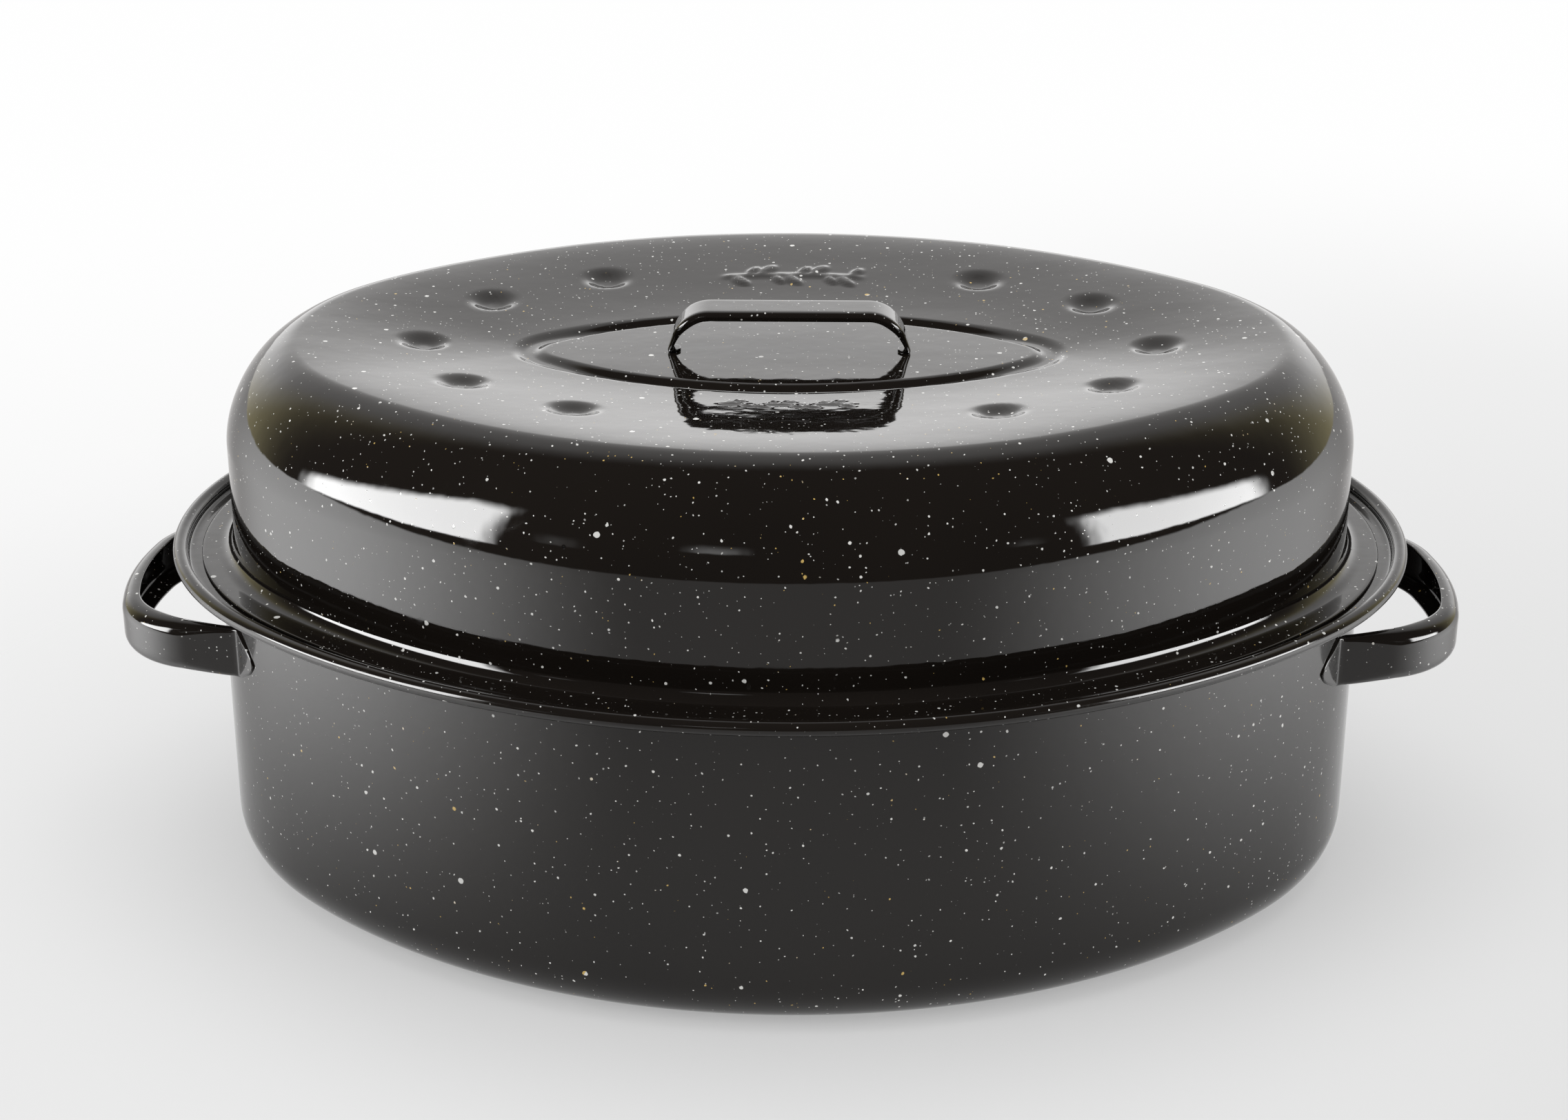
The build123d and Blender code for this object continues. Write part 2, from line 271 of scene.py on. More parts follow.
def build_pan(material):
    """The pan's whole sheet, inside and outside."""
    stations = Stations(pitch=3.2, measured_at=RIM_R)
    outline = pan_outline()
    base = stations.ring(PAN_WALL_R - PAN_CORNER_R)
    rings = [level_ring(base * share, 0.0) for share in BASE_SHARES]
    for r, z in outline:
        flat = stations.ring(r)
        if PAN_CORNER_R < z < LEDGE_Z - 6:
            ease = smooth(PAN_CORNER_R, PAN_CORNER_R + 12, z) * smooth(LEDGE_Z - 6, LEDGE_Z - 18, z)
            flat = flat + stations.normal * (ease * pan_wave(flat, z))[:, None]
        rings.append(level_ring(flat, z))
    rings += [level_ring(base * share, SHEET) for share in BASE_SHARES[::-1]]
    points, faces = skin_rings(rings)
    return add_mesh("pan_shell", points, faces, material, "pan", ["pan_body"])


# ---------------------------------------------------------------- lid


def lid_height(inset):
    """Height of the pressed dome at an inset from the lid's wall, before grooves and dimples."""
    if inset <= CREST_INSET:
        share = 1 - inset / CREST_INSET
        rise = (1 - share**SHOULDER_POWER) ** (1 / SHOULDER_ROOT)
        return WALL_TOP_Z + (CREST_Z - WALL_TOP_Z) * rise
    share = min(1.0, (inset - CREST_INSET) / (DISH_INSET - CREST_INSET))
    return CREST_Z - (CREST_Z - PANEL_Z) * share**1.5 * (1.9 - 0.9 * share)


def leaf(x, y, centre_x, centre_y, turn, length, width):
    """Height, 0 to 1, of an almond-shaped leaf with a sunk midrib."""
    c = math.cos(turn)
    s = math.sin(turn)
    along = (c * (x - centre_x) + s * (y - centre_y)) / (length / 2)
    across = (c * (y - centre_y) - s * (x - centre_x)) / (width / 2)
    edge = np.maximum(1 - along**2, 0.0)
    body = smooth(0.0, 0.75, edge - np.abs(across))
    rib = 0.45 * np.exp(-((across / 0.22) ** 2)) * smooth(0.0, 0.5, edge)
    return np.maximum(body - rib, 0.0)


def sprig(x, y):
    """A generic pressed sprig of paired leaves on a bowed stem, centred on the origin."""
    y = y + STEM_BOW * x * x
    height = 0.6 * np.exp(-((y / 0.9) ** 2)) * smooth(SPRIG_HALF + 2, SPRIG_HALF - 4, np.abs(x))
    for index in range(5):
        place = (index - 2) * LEAF_PITCH
        side = 1 if index % 2 else -1
        height = np.maximum(height, leaf(x, y, place, side * 2.6, side * 0.45, 12.5, 4.6))
        height = np.maximum(height, leaf(x, y, place + 5.0, -side * 2.4, -side * 0.5, 9.0, 3.6))
    return height


def lid_relief(x, y):
    """Pressed features of the lid's top, in mm: groove, dimples and sprigs."""
    tip = smooth(58.0, 86.0, np.abs(x))
    from_middle = np.abs(oval_radius(x, y, GROOVE_END_X, GROOVE_SIDE_Y) - GROOVE_R)
    off = from_middle / (GROOVE_HALF * (1 + 0.3 * tip))
    relief = -GROOVE_DEPTH * (1 - 0.5 * tip) * (1 - smooth(0.22, 1.0, off))
    for centre_x, centre_y in DIMPLES:
        away = np.hypot(np.abs(x) - centre_x, np.abs(y) - centre_y) / DIMPLE_R
        relief = relief - DIMPLE_DEPTH * (1 - smooth(0.25, 1.0, away))
    for side, distance, length, depth, height in SPRIGS:
        relief = relief + height * sprig(x / length, (side * y - distance) / depth)
    return relief


def sheet_wave(x, y):
    """The pressed sheet's slight unevenness, longer along the lid than across it."""
    waves = []
    for px, py in zip(x, y):
        slow = noise.noise(Vector((px / 75, py / 42, 3.1)))
        quick = noise.noise(Vector((px / 26, py / 11, 8.7)))
        waves.append(slow + 0.22 * quick)
    return SHEET_WAVE * np.array(waves)


def top_ring(xy, base, thickness_down=0.0):
    """One ring of the top at a base height, with the relief pressed in."""
    x, y = xy[:, 0], xy[:, 1]
    z = base + lid_relief(x, y) + sheet_wave(x, y) - thickness_down
    return np.column_stack([xy, z])


def top_insets(coarse):
    """Insets of the rings from the crest to just outside the groove."""
    insets = [CREST_INSET]
    end = LID_WALL_R - 8.0
    while insets[-1] < end:
        fine = LID_WALL_R - 32 < insets[-1] < LID_WALL_R - 12
        step = 0.75 if fine else 1.3
        insets.append(insets[-1] + (2.6 if coarse else step))
    insets[-1] = end
    return insets


def shoulder_insets(steps):
    """Insets from the wall to the crest, crowded at the wall where the shoulder is steep."""
    return [CREST_INSET * (step / steps) ** 2.2 for step in range(steps)]


def lid_outer_rings(stations):
    """Rings from the brim's edge over the shoulder to the middle of the panel."""
    top = BRIM_Z + SHEET
    edge_r = SHEET / 2
    profile = quarter(BRIM_R - edge_r, BRIM_Z + edge_r, edge_r, -90, 90, 6)
    profile += straight((BRIM_R - edge_r, top), (LID_WALL_R + BRIM_FILLET, top), 7)
    profile += quarter(LID_WALL_R + BRIM_FILLET, top + BRIM_FILLET, BRIM_FILLET, -90, -180, 8)
    profile += straight((LID_WALL_R, top + BRIM_FILLET), (LID_WALL_R, WALL_TOP_Z), 9)
    profile += [(LID_WALL_R - inset, lid_height(inset)) for inset in shoulder_insets(26)]
    rings = []
    for r, z in profile:
        flat = stations.ring(r)
        lift = 0.0
        if z < top + 1:
            ripple = [noise.noise(Vector((x / 34, y / 34, 5.0))) for x, y in flat]
            lift = BRIM_RIPPLE * np.array(ripple) * smooth(LID_WALL_R + 5, BRIM_R, r)
            lift = np.maximum(lift, -0.2)
        if z > top + BRIM_FILLET:
            waves = sheet_wave(flat[:, 0], flat[:, 1])
            flat = flat + stations.normal * (waves * smooth(top + BRIM_FILLET, 140, z))[:, None]
            lift = waves * smooth(WALL_TOP_Z, CREST_Z, z)
        rings.append(level_ring(flat, z + lift))
    for inset in top_insets(coarse=False):
        rings.append(top_ring(stations.ring(LID_WALL_R - inset), lid_height(inset)))
    eye = stations.ring(EYE_R)
    fine = np.linspace(1, EYE_FINE_SHARE, 24)[1:]
    coarse = np.linspace(EYE_FINE_SHARE, POLE_SHARE, 12)[1:]
    for share in [*fine, *coarse]:
        rings.append(top_ring(eye * share, PANEL_Z))
    return rings


def lid_inner_rings(stations):
    """Rings of the underside, from the middle of the panel out to the brim's edge."""
    eye = stations.ring(EYE_R)
    coarse = np.linspace(POLE_SHARE, EYE_FINE_SHARE, 6)
    fine = np.linspace(EYE_FINE_SHARE, 1, 12)[1:-1]
    rings = []
    for share in [*coarse, *fine]:
        rings.append(top_ring(eye * share, PANEL_Z, SHEET))
    for inset in top_insets(coarse=True)[::-1]:
        rings.append(top_ring(stations.ring(LID_WALL_R - inset), lid_height(inset), SHEET))
    for inset in shoulder_insets(14)[:0:-1]:
        slope = (lid_height(inset + 0.05) - lid_height(inset - 0.05)) / 0.1
        length = math.hypot(1, slope)
        r = LID_WALL_R - inset - SHEET * slope / length
        rings.append(level_ring(stations.ring(r), lid_height(inset) - SHEET / length))
    inner_r = LID_WALL_R - SHEET
    radius = BRIM_FILLET + SHEET
    low = [(inner_r, WALL_TOP_Z)]
    low += straight((inner_r, WALL_TOP_Z), (inner_r, BRIM_Z + radius), 6)
    low += quarter(inner_r + radius, BRIM_Z + radius, radius, 180, 270, 6)
    low += straight((inner_r + radius, BRIM_Z), (BRIM_R - SHEET / 2, BRIM_Z), 4)
    rings += [level_ring(stations.ring(r), z) for r, z in low]
    return rings


def build_lid(material):
    """The lid's whole sheet, inside and outside."""
    stations = Stations(pitch=2.0, fine_pitch=0.95, fine_half=SPRIG_HALF + 6)
    rings = lid_inner_rings(stations) + lid_outer_rings(stations)
    points, faces = skin_rings(rings)
    return add_mesh("lid_dome", points, faces, material, "lid", ["lid_shell"])


# ---------------------------------------------------------------- pressed straps


def rounded_path(corners, radii, pitch):
    """Points about a pitch apart along straight runs joined by arcs, in a plane."""
    corners = [np.array(c, float) for c in corners]
    pieces = [[corners[0]]]
    for before, here, after, radius in zip(corners, corners[1:], corners[2:], radii):
        u = (before - here) / np.linalg.norm(before - here)
        v = (after - here) / np.linalg.norm(after - here)
        half = math.acos(np.clip(u @ v, -1, 1)) / 2
        back = radius / math.tan(half)
        bisector = (u + v) / np.linalg.norm(u + v)
        centre = here + bisector * radius / math.sin(half)
        start = here + u * back
        end = here + v * back
        a0 = math.atan2(*(start - centre)[::-1])
        sweep = math.atan2(*(end - centre)[::-1]) - a0
        sweep = (sweep + math.pi) % (2 * math.pi) - math.pi
        steps = max(4, round(abs(sweep) * radius / pitch))
        arc = [a0 + sweep * k / steps for k in range(steps + 1)]
        pieces.append([centre + radius * np.array([math.cos(a), math.sin(a)]) for a in arc])
    pieces.append([corners[-1]])
    path = [pieces[0][0]]
    for piece in pieces[1:]:
        gap = np.linalg.norm(piece[0] - path[-1])
        steps = max(1, round(gap / pitch))
        start = path[-1]
        path += [start + (piece[0] - start) * k / steps for k in range(1, steps + 1)]
        path += piece[1:]
    return np.array(path)


def channel_section(width, depth, corner):
    """Outline (inward, across) of a channel's outer face, and its outward normals."""
    corner = max(min(corner, depth, width / 2 - 0.2), 0.02)
    rows = []
    for side in (-1, 1):
        half = []
        for share in np.linspace(0, 1, 4):
            half.append((max(depth, corner) * (1 - share) + corner * share, side * width / 2, 0, side))
        for angle in np.radians(np.linspace(90, 0, 8)[1:]):
            s, c = math.sin(angle), math.cos(angle)
            half.append((corner * (1 - c), side * (width / 2 - corner * (1 - s)), -c, side * s))
        rows.append(half)
    web = []
    limit = width / 2 - corner
    for share in np.linspace(-1, 1, 9)[1:-1]:
        web.append((0.0, limit * share, -1, 0))
    return np.array(rows[0] + web + rows[1][::-1])


def strap_mesh(path, outward, across, sections, thickness):
    """Points and faces of a bent sheet strap of changing channel section."""
    outer_rows, inner_rows = [], []
    for point, out, section in zip(path, outward, sections):
        inward = -out
        outer = point + section[:, :1] * inward + section[:, 1:2] * across
        normal = section[:, 2:3] * inward + section[:, 3:4] * across
        outer_rows.append(outer)
        inner_rows.append(outer - thickness * normal)
    loops = []
    for outer, inner in zip(outer_rows, inner_rows):
        loops.append(np.concatenate([outer, inner[::-1]]))
    return skin_rings(loops)


def plan_normals(path):
    """Unit normals to the right of a plane path."""
    tangent = np.gradient(path, axis=0)
    tangent /= np.linalg.norm(tangent, axis=1)[:, None]
    return np.column_stack([tangent[:, 1], -tangent[:, 0]])


def path_lengths(path):
    """Distance along a path at each of its points."""
    steps = np.linalg.norm(np.diff(path, axis=0), axis=1)
    return np.concatenate([[0], np.cumsum(steps)])


def side_handle_path():
    """The +X handle's outer face in plan: weld tab, crease, arm, bowed grip, and back again."""
    tip_x = grip_high[0] / MM + BOW_SAG
    face_r = PAN_WALL_R + SHEET
    crease_angle = math.asin(CREASE_Y / face_r)
    tab = []
    for share in np.linspace(1, 0, 9):
        angle = crease_angle + share * TAB_LENGTH / face_r
        r = face_r - 0.4 * SHEET * share**2
        tab.append(np.array([END_X + r * math.cos(angle), -r * math.sin(angle)]))
    elbow = np.array([tip_x - ELBOW_BACK, -ELBOW_Y])
    mirror = np.array([1, -1])
    corners = [tab[-2], tab[-1], elbow, (tip_x, 0)]
    corners += [elbow * mirror, tab[-1] * mirror, tab[-2] * mirror]
    loop = rounded_path(corners, [CREASE_R, ELBOW_R, BOW_R, ELBOW_R, CREASE_R], 1.3)
    return np.concatenate([tab[:-2], loop, np.array(tab[:-2])[::-1] * mirror])


def build_side_handle(name, node, flip, material):
    """A loop handle: flip is 1 for the +X end and -1 for the other, turned half round."""
    path = side_handle_path()
    normals = plan_normals(path)
    along = path_lengths(path)
    from_end = np.minimum(along, along[-1] - along)
    sections = []
    for distance in from_end:
        rounding = min(1.0, distance / TAB_CORNER)
        taper = TAB_TAPER + (1 - TAB_TAPER) * min(1.0, distance / TAB_LENGTH)
        height = max(BAND_HEIGHT * taper * math.sqrt(1 - (1 - rounding) ** 2), 1.0)
        near_wall = float(smooth(TAB_LENGTH - 0.5, TAB_LENGTH + 2.0, distance))
        along_arm = float(smooth(TAB_LENGTH, TAB_LENGTH + 34.0, distance))
        depth = 0.9 + 0.9 * near_wall + 4.4 * along_arm
        sections.append(channel_section(height, depth, BAND_EDGE_R))
    turn = np.array([flip, flip, 1.0])
    path3 = np.column_stack([path, np.full(len(path), BAND_Z)]) * turn
    normals3 = np.column_stack([normals, np.zeros(len(path))]) * turn
    points, faces = strap_mesh(path3, normals3, np.array([0, 0, 1.0]), sections, SHEET)
    return add_mesh(name, points, faces, material, "pan", [node])


def build_lid_handle(material):
    """The strap on the lid: narrow feet on the panel, leaning legs and a wide flat top."""
    half = bridge_high[0] / MM
    height = (bridge_high[2] - bridge_low[2]) / MM
    tab_in = half - BRIDGE_FOOT_LENGTH
    right = [(half - BRIDGE_LEAN, height), (half, BRIDGE_FOOT_Z), (tab_in, BRIDGE_FOOT_Z)]
    corners = [(-x, z) for x, z in right[::-1]] + right
    bends = [BRIDGE_FOOT_R, BRIDGE_BEND_R, BRIDGE_BEND_R, BRIDGE_FOOT_R]
    path = rounded_path(corners, bends, 0.9)
    tangent = np.gradient(path, axis=0)
    tangent /= np.linalg.norm(tangent, axis=1)[:, None]
    sections = []
    for x, z in path:
        rise = float(smooth(0.0, height * 0.9, z))
        width = BRIDGE_FOOT_WIDTH + (BRIDGE_WIDTH - BRIDGE_FOOT_WIDTH) * rise
        depth = 1.4 + 1.6 * rise
        if z < 1.0:
            past = max(0.0, (tab_in + 3.0 - abs(x)) / 3.2)
            width *= math.sqrt(max(1 - past**2, 0.05))
            depth *= float(smooth(half - 1.2, half - 0.2, abs(x)))
        sections.append(channel_section(width, depth, BRIDGE_EDGE_R))
    path3 = np.column_stack([path[:, 0], np.zeros(len(path)), path[:, 1] + PANEL_Z])
    normals3 = np.column_stack([-tangent[:, 1], np.zeros(len(path)), tangent[:, 0]])
    points, faces = strap_mesh(path3, normals3, np.array([0, 1.0, 0]), sections, SHEET)
    return add_mesh("lid_grip", points, faces, material, "lid", ["lid_handle"])


# ---------------------------------------------------------------- materials


class Shader:
    """A Principled material with short calls for adding and joining nodes."""

    def __init__(self, name):
        self.material = bpy.data.materials.new(name)
        self.material.use_nodes = True
        self.tree = self.material.node_tree
        self.main = self.tree.nodes["Principled BSDF"]

    def node(self, kind, **settings):
        made = self.tree.nodes.new(kind)
        for key, value in settings.items():
            setattr(made, key, value)
        return made

    def join(self, source, target):
        self.tree.links.new(source, target)

    def math(self, operation, first, second=None, clamp=False):
        made = self.node("ShaderNodeMath", operation=operation, use_clamp=clamp)
        for socket, value in zip(made.inputs, (first, second)):
            if value is None:
                continue
            if isinstance(value, (int, float)):
                socket.default_value = value
            else:
                self.join(value, socket)
        return made.outputs[0]

    def mix(self, share, first, second):
        made = self.node("ShaderNodeMix", data_type="RGBA")
        if isinstance(share, (int, float)):
            made.inputs[0].default_value = share
        else:
            self.join(share, made.inputs[0])
        for socket, value in ((made.inputs[6], first), (made.inputs[7], second)):
            if isinstance(value, tuple):
                socket.default_value = (*value, 1)
            else:
                self.join(value, socket)
        return made.outputs[2]

    def noise(self, vector, scale, detail=2.0, rough=0.5):
        made = self.node("ShaderNodeTexNoise")
        made.inputs["Scale"].default_value = scale
        made.inputs["Detail"].default_value = detail
        made.inputs["Roughness"].default_value = rough
        self.join(vector, made.inputs["Vector"])
        return made

    def place(self, scale=(1, 1, 1)):
        """Object coordinates in metres, stretched."""
        coordinates = self.node("ShaderNodeTexCoord")
        mapping = self.node("ShaderNodeMapping")
        mapping.inputs["Scale"].default_value = scale
        self.join(coordinates.outputs["Object"], mapping.inputs["Vector"])
        return mapping.outputs["Vector"]

    def ramp(self, value, low, high):
        made = self.node("ShaderNodeMapRange", interpolation_type="SMOOTHSTEP")
        made.inputs["From Min"].default_value = low
        made.inputs["From Max"].default_value = high
        self.join(value, made.inputs["Value"])
        return made.outputs["Result"]


def specks(shader, vector, spacing, largest, share, power, soft):
    """A mask of round flecks of mixed sizes, and each fleck's random colour channels."""
    cells = shader.node("ShaderNodeTexVoronoi", feature="F1")
    cells.inputs["Scale"].default_value = 1 / (spacing * MM)
    shader.join(vector, cells.inputs["Vector"])
    split = shader.node("ShaderNodeSeparateColor")
    shader.join(cells.outputs["Color"], split.inputs[0])
    chosen = shader.node("ShaderNodeMapRange")
    chosen.inputs["From Min"].default_value = 1 - share
    shader.join(split.outputs[0], chosen.inputs["Value"])
    size = shader.math("POWER", chosen.outputs["Result"], power)
    radius = shader.math("MULTIPLY", size, largest / spacing)
    inside = shader.math("SUBTRACT", radius, cells.outputs["Distance"])
    mask = shader.math("MULTIPLY", inside, spacing / soft, clamp=True)
    return mask, split


def enamel(name, roughness, wipe, spread):
    """Glossy black-brown vitreous enamel with thrown white flecks, pits, dust and wipe marks."""
    shader = Shader(name)
    plain = shader.place()
    wobble = shader.noise(plain, 900, 1.0)
    shift = shader.node("ShaderNodeVectorMath", operation="MULTIPLY_ADD")
    shift.inputs[1].default_value = (0.0006, 0.0006, 0.0006)
    shader.join(wobble.outputs["Color"], shift.inputs[0])
    shader.join(plain, shift.inputs[2])
    uneven = shift.outputs[0]

    fine, fine_random = specks(shader, uneven, 1.7 * spread, 0.34, 0.9, 1.3, 0.08)
    middle, middle_random = specks(shader, uneven, 3.4 * spread, 0.56, 0.85, 1.3, 0.12)
    large, large_random = specks(shader, uneven, 9.0 * spread, 1.1, 0.7, 1.2, 0.16)
    pits = specks(shader, plain, 16.0, 0.8, 0.4, 1.0, 0.35)[0]

    fine_level = shader.math("MULTIPLY", fine, shader.ramp(fine_random.outputs[1], -0.6, 0.8))
    fleck = shader.math("MAXIMUM", fine_level, middle)
    fleck = shader.math("MAXIMUM", fleck, large)

    cloud = shader.noise(plain, 14, 3.0)
    ground = shader.mix(cloud.outputs["Fac"], (0.0058, 0.0047, 0.0040), (0.0100, 0.0078, 0.0062))
    warm = shader.ramp(middle_random.outputs[2], 0.90, 0.94)
    white = shader.mix(large_random.outputs[1], (0.78, 0.77, 0.74), (0.62, 0.62, 0.60))
    white = shader.mix(warm, white, (0.55, 0.38, 0.12))
    pitted = shader.mix(pits, ground, (0.003, 0.003, 0.003))
    shader.join(shader.mix(fleck, pitted, white), shader.main.inputs["Base Color"])

    streaks = shader.noise(shader.place((3, 40, 12)), 9, 4.0, 0.6)
    smear = shader.ramp(streaks.outputs["Fac"], 0.5, 0.75)
    patch = shader.ramp(cloud.outputs["Fac"], 0.48, 0.66)
    worn = shader.math("MULTIPLY", smear, patch)
    rough = shader.math("MULTIPLY_ADD", fleck, 0.10)
    rough.node.inputs[2].default_value = roughness
    both = shader.math("MULTIPLY_ADD", worn, wipe)
    shader.join(rough, both.node.inputs[2])
    shader.join(both, shader.main.inputs["Roughness"])
    shader.main.inputs["IOR"].default_value = 1.41

    peel = shader.noise(plain, 170, 1.0)
    height = shader.math("MULTIPLY_ADD", fleck, 0.5)
    shader.join(peel.outputs["Fac"], height.node.inputs[2])
    sunk = shader.math("MULTIPLY_ADD", pits, -0.8)
    shader.join(height, sunk.node.inputs[2])
    bump = shader.node("ShaderNodeBump")
    bump.inputs["Strength"].default_value = 0.25
    bump.inputs["Distance"].default_value = 0.00012
    shader.join(sunk, bump.inputs["Height"])
    shader.join(bump.outputs[0], shader.main.inputs["Normal"])
    return shader.material


def plated_wire(name):
    """Bright plated wire with faint drawing lines and dull patches."""
    shader = Shader(name)
    plain = shader.place()
    patches = shader.noise(plain, 60, 3.0)
    lines = shader.noise(plain, 1400, 2.0)
    tone = shader.mix(patches.outputs["Fac"], (0.60, 0.60, 0.61), (0.74, 0.74, 0.75))
    shader.join(tone, shader.main.inputs["Base Color"])
    shader.main.inputs["Metallic"].default_value = 1.0
    rough = shader.math("MULTIPLY_ADD", patches.outputs["Fac"], 0.18)
    rough.node.inputs[2].default_value = 0.12
    shader.join(rough, shader.main.inputs["Roughness"])
    bump = shader.node("ShaderNodeBump")
    bump.inputs["Strength"].default_value = 0.2
    bump.inputs["Distance"].default_value = 0.00005
    shader.join(lines.outputs["Fac"], bump.inputs["Height"])
    shader.join(bump.outputs[0], shader.main.inputs["Normal"])
    return shader.material


def dress_node(node, material):
    """Gives a carried-over CAD node its material."""
    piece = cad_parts[node]
    piece.data.materials.clear()
    piece.data.materials.append(material)


# ---------------------------------------------------------------- studio


def build_floor():
    """A pale table top that fades into the surroundings."""
    shader = Shader("table_paper")
    where = shader.node("ShaderNodeTexCoord")
    length = shader.node("ShaderNodeVectorMath", operation="LENGTH")
    shader.join(where.outputs["Object"], length.inputs[0])
    shader.main.inputs["Base Color"].default_value = (0.48, 0.48, 0.48, 1)
    shader.main.inputs["Roughness"].default_value = 1.0
    shader.main.inputs["Specular IOR Level"].default_value = 0.0
    shader.main.inputs["Emission Color"].default_value = (1, 1, 1, 1)
    shader.main.inputs["Emission Strength"].default_value = 0.35
    clear = shader.node("ShaderNodeBsdfTransparent")
    blend = shader.node("ShaderNodeMixShader")
    shader.join(shader.ramp(length.outputs["Value"], 0.16, 0.50), blend.inputs[0])
    shader.join(shader.main.outputs[0], blend.inputs[1])
    shader.join(clear.outputs[0], blend.inputs[2])
    output = shader.tree.nodes["Material Output"]
    shader.join(blend.outputs[0], output.inputs["Surface"])
    mesh = bpy.data.meshes.new("table")
    half = 0.6
    corners = [(-half, -half, 0), (half, -half, 0), (half, half, 0), (-half, half, 0)]
    mesh.from_pydata(corners, [], [(0, 1, 2, 3)])
    mesh.materials.append(shader.material)
    table = bpy.data.objects.new("table", mesh)
    bpy.context.scene.collection.objects.link(table)


# Lit panes in front, as a turn from straight ahead and half width in radians, the sine of the
# lowest and highest elevation, how fast the top drops sideways, and brightness.
WINDOWS = [
    (-1.25, 0.37, -0.02, 0.50, 0.62, 25.0),
    (1.24, 0.34, -0.02, 0.41, 0.36, 22.0),
    (-0.21, 0.10, 0.23, 0.35, 0.0, 2.8),
    (-0.69, 0.07, 0.13, 0.27, 0.0, 0.9),
    (0.72, 0.06, 0.14, 0.25, 0.0, 0.9),
]


# Levels of the surroundings: what lights matt surfaces, what reflections see, what the view sees. The
# view's level carries painted shade: it darkens lower down and to the right.
AMBIENT = 0.62
SHADE = 0.12
TABLE_FRONT = 0.68
TABLE_SIDES = 4.6
TABLE_RIGHT_LOSS = 0.25
SEEN_TOP = 0.995
SEEN_PAINTED_SHADE_LOW = 0.21
SEEN_PAINTED_SHADE_RIGHT = 0.11


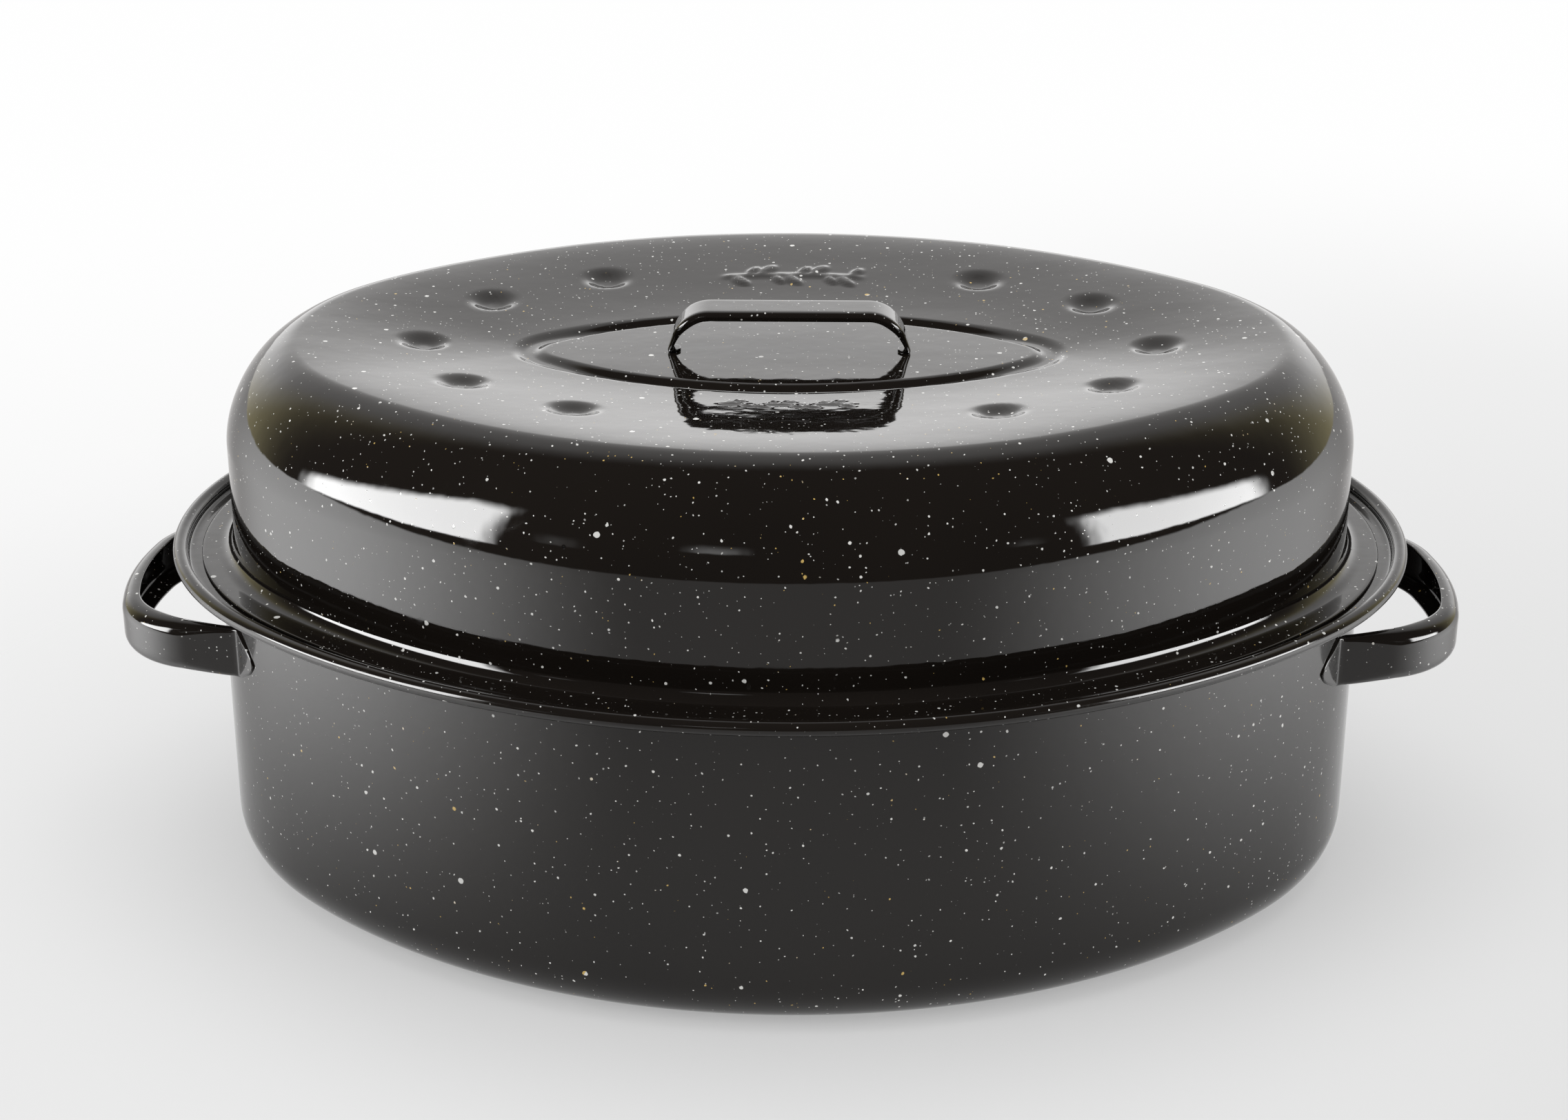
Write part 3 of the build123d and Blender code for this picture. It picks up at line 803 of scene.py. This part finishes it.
def build_world():
    """Pale surroundings to look at, with painted shade that darkens them lower down and to the right;
    a white cove, a dark room in front and windows to reflect.
    """
    world = bpy.data.worlds.new("studio")
    bpy.context.scene.world = world
    world.use_nodes = True
    tree = world.node_tree
    tree.nodes.clear()

    def node(kind, **settings):
        made = tree.nodes.new(kind)
        for key, value in settings.items():
            setattr(made, key, value)
        return made

    def calc(operation, first, second=0.0):
        made = node("ShaderNodeMath", operation=operation)
        for socket, value in zip(made.inputs, (first, second)):
            if isinstance(value, (int, float)):
                socket.default_value = value
            else:
                tree.links.new(value, socket)
        return made.outputs[0]

    def ease(value, low, high):
        made = node("ShaderNodeMapRange", interpolation_type="SMOOTHSTEP")
        made.inputs["From Min"].default_value = low
        made.inputs["From Max"].default_value = high
        tree.links.new(value, made.inputs["Value"])
        return made.outputs["Result"]

    direction = node("ShaderNodeTexCoord").outputs["Generated"]
    split = node("ShaderNodeSeparateXYZ")
    tree.links.new(direction, split.inputs[0])
    x, y, z = split.outputs
    turn = calc("ARCTAN2", x, calc("MULTIPLY", y, -1.0))

    def times(first, second):
        return calc("MULTIPLY", first, second)

    def plus(first, second):
        return calc("ADD", first, second)

    beside = calc("ABSOLUTE", x)
    depth = calc("MULTIPLY", z, -1.0)

    card = ease(plus(y, times(z, 0.62)), 0.62, 0.97)
    card_level = plus(1.10, times(ease(z, 0.50, 0.16), 0.80))
    above = ease(z, -0.01, 0.01)
    studio = times(times(card, card_level), above)

    table_reach = ease(plus(y, times(depth, 3.7)), -0.05, 0.10)
    sideways = calc("ABSOLUTE", turn)
    behind = times(ease(sideways, 1.40, 2.5), TABLE_SIDES)
    side_glow = times(ease(sideways, 0.44, 1.43), calc("SUBTRACT", TABLE_SIDES, behind))
    right_loss = times(ease(x, -0.1, 0.1), TABLE_RIGHT_LOSS)
    side_glow = times(side_glow, calc("SUBTRACT", 1.0, right_loss))
    table_level = times(table_reach, plus(TABLE_FRONT, side_glow))
    studio = plus(studio, times(table_level, ease(z, 0.01, -0.01)))

    for centre, half, low, high, slant, power in WINDOWS:
        off = calc("ABSOLUTE", calc("SUBTRACT", turn, centre))
        from_front = calc("ABSOLUTE", turn)
        drop = times(calc("MAXIMUM", calc("SUBTRACT", from_front, 1.05), 0.0), slant)
        side = ease(off, half + 0.02, half - 0.08)
        under_top = ease(plus(z, drop), high + 0.02, high - 0.08)
        over_base = ease(z, low, low + 0.03)
        studio = plus(studio, times(times(times(side, under_top), over_base), power))

    room = times(times(ease(y, 0.05, 0.60), ease(beside, 0.35, 0.65)), calc("SUBTRACT", 1.0, card))
    room = times(room, above)

    def light(level, color):
        made = node("ShaderNodeBackground")
        made.inputs["Color"].default_value = (*color, 1)
        if isinstance(level, (int, float)):
            made.inputs["Strength"].default_value = level
        else:
            tree.links.new(level, made.inputs["Strength"])
        return made.outputs[0]

    def both(first, second):
        made = node("ShaderNodeAddShader")
        tree.links.new(first, made.inputs[0])
        tree.links.new(second, made.inputs[1])
        return made.outputs[0]

    def choose(share, first, second):
        made = node("ShaderNodeMixShader")
        tree.links.new(share, made.inputs[0])
        tree.links.new(first, made.inputs[1])
        tree.links.new(second, made.inputs[2])
        return made.outputs[0]

    reflected = both(light(studio, (1, 1, 1)), light(room, (1.0, 0.9, 0.5)))
    reflected = both(reflected, light(SHADE, (1.0, 0.86, 0.78)))
    ambient = light(AMBIENT, (1, 1, 1))
    # Painted shade: the surroundings that only the view sees are made darker lower down and towards
    # the right.
    seen_level_with_painted_shade = calc("SUBTRACT", SEEN_TOP, times(ease(depth, 0.25, 0.55), SEEN_PAINTED_SHADE_LOW))
    painted_shade_right = times(ease(x, -0.1, 0.24), ease(depth, 0.24, 0.32))
    seen_level_with_painted_shade = calc("SUBTRACT", seen_level_with_painted_shade, times(painted_shade_right, SEEN_PAINTED_SHADE_RIGHT))
    seen = light(seen_level_with_painted_shade, (1, 1, 1))
    path = node("ShaderNodeLightPath")
    surroundings = choose(path.outputs["Is Glossy Ray"], ambient, reflected)
    surroundings = choose(path.outputs["Is Camera Ray"], surroundings, seen)
    tree.links.new(surroundings, node("ShaderNodeOutputWorld").inputs["Surface"])


def add_area(name, place, aim, size, power):
    """A soft rectangular light, aimed at a point, that reflections don't show."""
    data = bpy.data.lights.new(name, "AREA")
    data.shape = "RECTANGLE"
    data.size, data.size_y = size
    data.energy = power
    lamp = bpy.data.objects.new(name, data)
    lamp.location = place
    lamp.rotation_mode = "QUATERNION"
    lamp.rotation_quaternion = (Vector(aim) - Vector(place)).to_track_quat("-Z", "Y")
    lamp.visible_glossy = False
    bpy.context.scene.collection.objects.link(lamp)


def build_lights():
    add_area("overhead", (0.0, 0.1, 1.6), (0, 0, 0), (2.0, 1.6), 11)
    add_area("left_front", (-1.2, -0.8, 0.9), (0, 0, 0.1), (0.8, 0.9), 6)
    add_area("right_front", (1.2, -0.8, 0.9), (0, 0, 0.1), (0.8, 0.9), 3)


def build_camera():
    azimuth = math.radians(1.1)
    elevation = math.radians(22.78)
    distance = 0.97683
    aim = Vector((-0.00175, 0, 0.10148))
    level = math.cos(elevation)
    back = Vector((math.sin(azimuth) * level, -math.cos(azimuth) * level, math.sin(elevation)))
    data = bpy.data.cameras.new("camera")
    data.sensor_width = 36
    data.lens = 64.8
    data.clip_start = 0.02
    data.clip_end = 50
    camera = bpy.data.objects.new("camera", data)
    camera.location = aim + back * distance
    camera.rotation_mode = "QUATERNION"
    camera.rotation_quaternion = (-back).to_track_quat("-Z", "Y")
    bpy.context.scene.collection.objects.link(camera)
    bpy.context.scene.camera = camera


def build_object():
    pan_enamel = enamel("pan_enamel", 0.09, 0.10, 1.12)
    lid_enamel = enamel("lid_enamel", 0.035, 0.08, 1.0)
    handle_enamel = enamel("handle_enamel", 0.07, 0.10, 1.0)
    wire = plated_wire("rack_plating")
    build_pan(pan_enamel)
    build_lid(lid_enamel)
    build_lid_handle(handle_enamel)
    build_side_handle("grip_right", "side_handle_right", 1, handle_enamel)
    build_side_handle("grip_left", "side_handle_left", -1, handle_enamel)
    for node in ("rack_rim", "rack_cross_wires", "rack_foot_rails", "rack_pivot_wires"):
        dress_node(node, wire)
    for node in ("rack_handle_left", "rack_handle_right"):
        dress_node(node, wire)


bpy.context.scene.view_settings.view_transform = "Standard"
build_camera()
build_floor()
build_world()
build_lights()
build_object()
